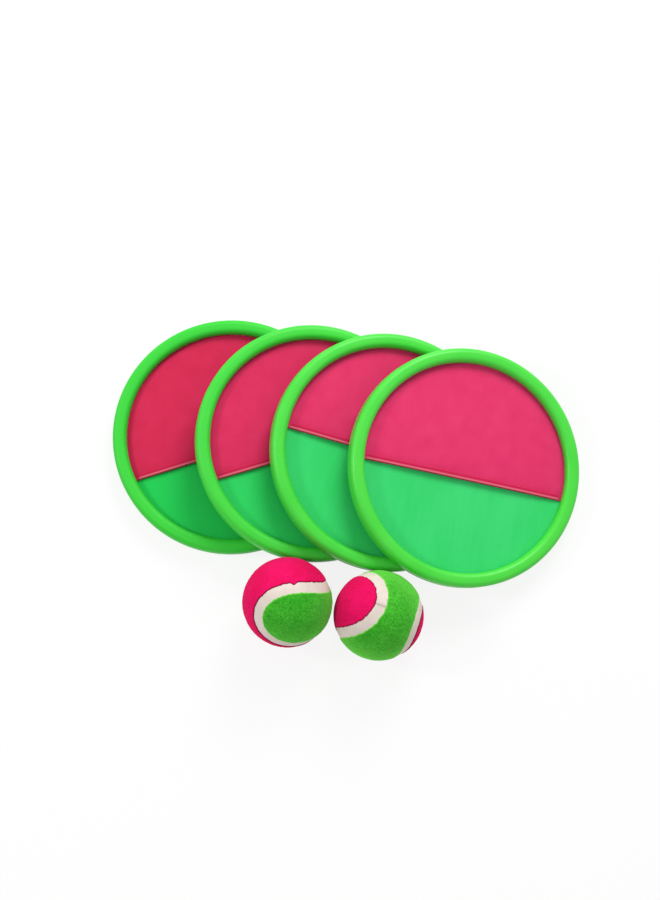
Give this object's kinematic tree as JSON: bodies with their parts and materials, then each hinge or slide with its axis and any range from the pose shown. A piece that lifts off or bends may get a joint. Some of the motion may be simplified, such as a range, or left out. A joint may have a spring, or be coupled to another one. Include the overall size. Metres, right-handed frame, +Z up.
{
  "type": "hook and loop catch set",
  "caption": "Round catch paddles, each with a plastic rim, a hook sheet and a cloth hand pocket, lying in a leaning row behind fuzzy two-colour balls.",
  "frame": {"origin": "on the floor, under the middle of the set's bounding box", "axes": "+X along the row of paddles, from the one lying flat to the top one; -Y towards the balls; +Z up"},
  "size_m": [0.3658, 0.271, 0.0689],
  "materials": {
    "rim": "satin",
    "backing": "smooth",
    "hook_sheet": "hook tape",
    "pocket_cloth": "woven",
    "ball_core": "matte",
    "pink_felt": "fuzzy felt",
    "green_felt": "fuzzy felt",
    "seam_band": "matte"
  },
  "bodies": {
    "root": {"paddle_1_pocket_ring": "rim", "paddle_1_catch_ring": "rim", "paddle_1_backing_disc": "backing", "paddle_1_hook_sheet": "hook_sheet", "paddle_1_hand_pocket": "pocket_cloth", "paddle_2_pocket_ring": "rim", "paddle_2_catch_ring": "rim", "paddle_2_backing_disc": "backing", "paddle_2_hook_sheet": "hook_sheet", "paddle_2_hand_pocket": "pocket_cloth", "paddle_3_pocket_ring": "rim", "paddle_3_catch_ring": "rim", "paddle_3_backing_disc": "backing", "paddle_3_hook_sheet": "hook_sheet", "paddle_3_hand_pocket": "pocket_cloth", "paddle_4_pocket_ring": "rim", "paddle_4_catch_ring": "rim", "paddle_4_backing_disc": "backing", "paddle_4_hook_sheet": "hook_sheet", "paddle_4_hand_pocket": "pocket_cloth", "ball_1_core": "ball_core", "ball_1_pink_panel": "pink_felt", "ball_1_green_panel": "green_felt", "ball_1_seam_band": "seam_band", "ball_2_core": "ball_core", "ball_2_pink_panel": "pink_felt", "ball_2_green_panel": "green_felt", "ball_2_seam_band": "seam_band"}
  },
  "joints": []
}
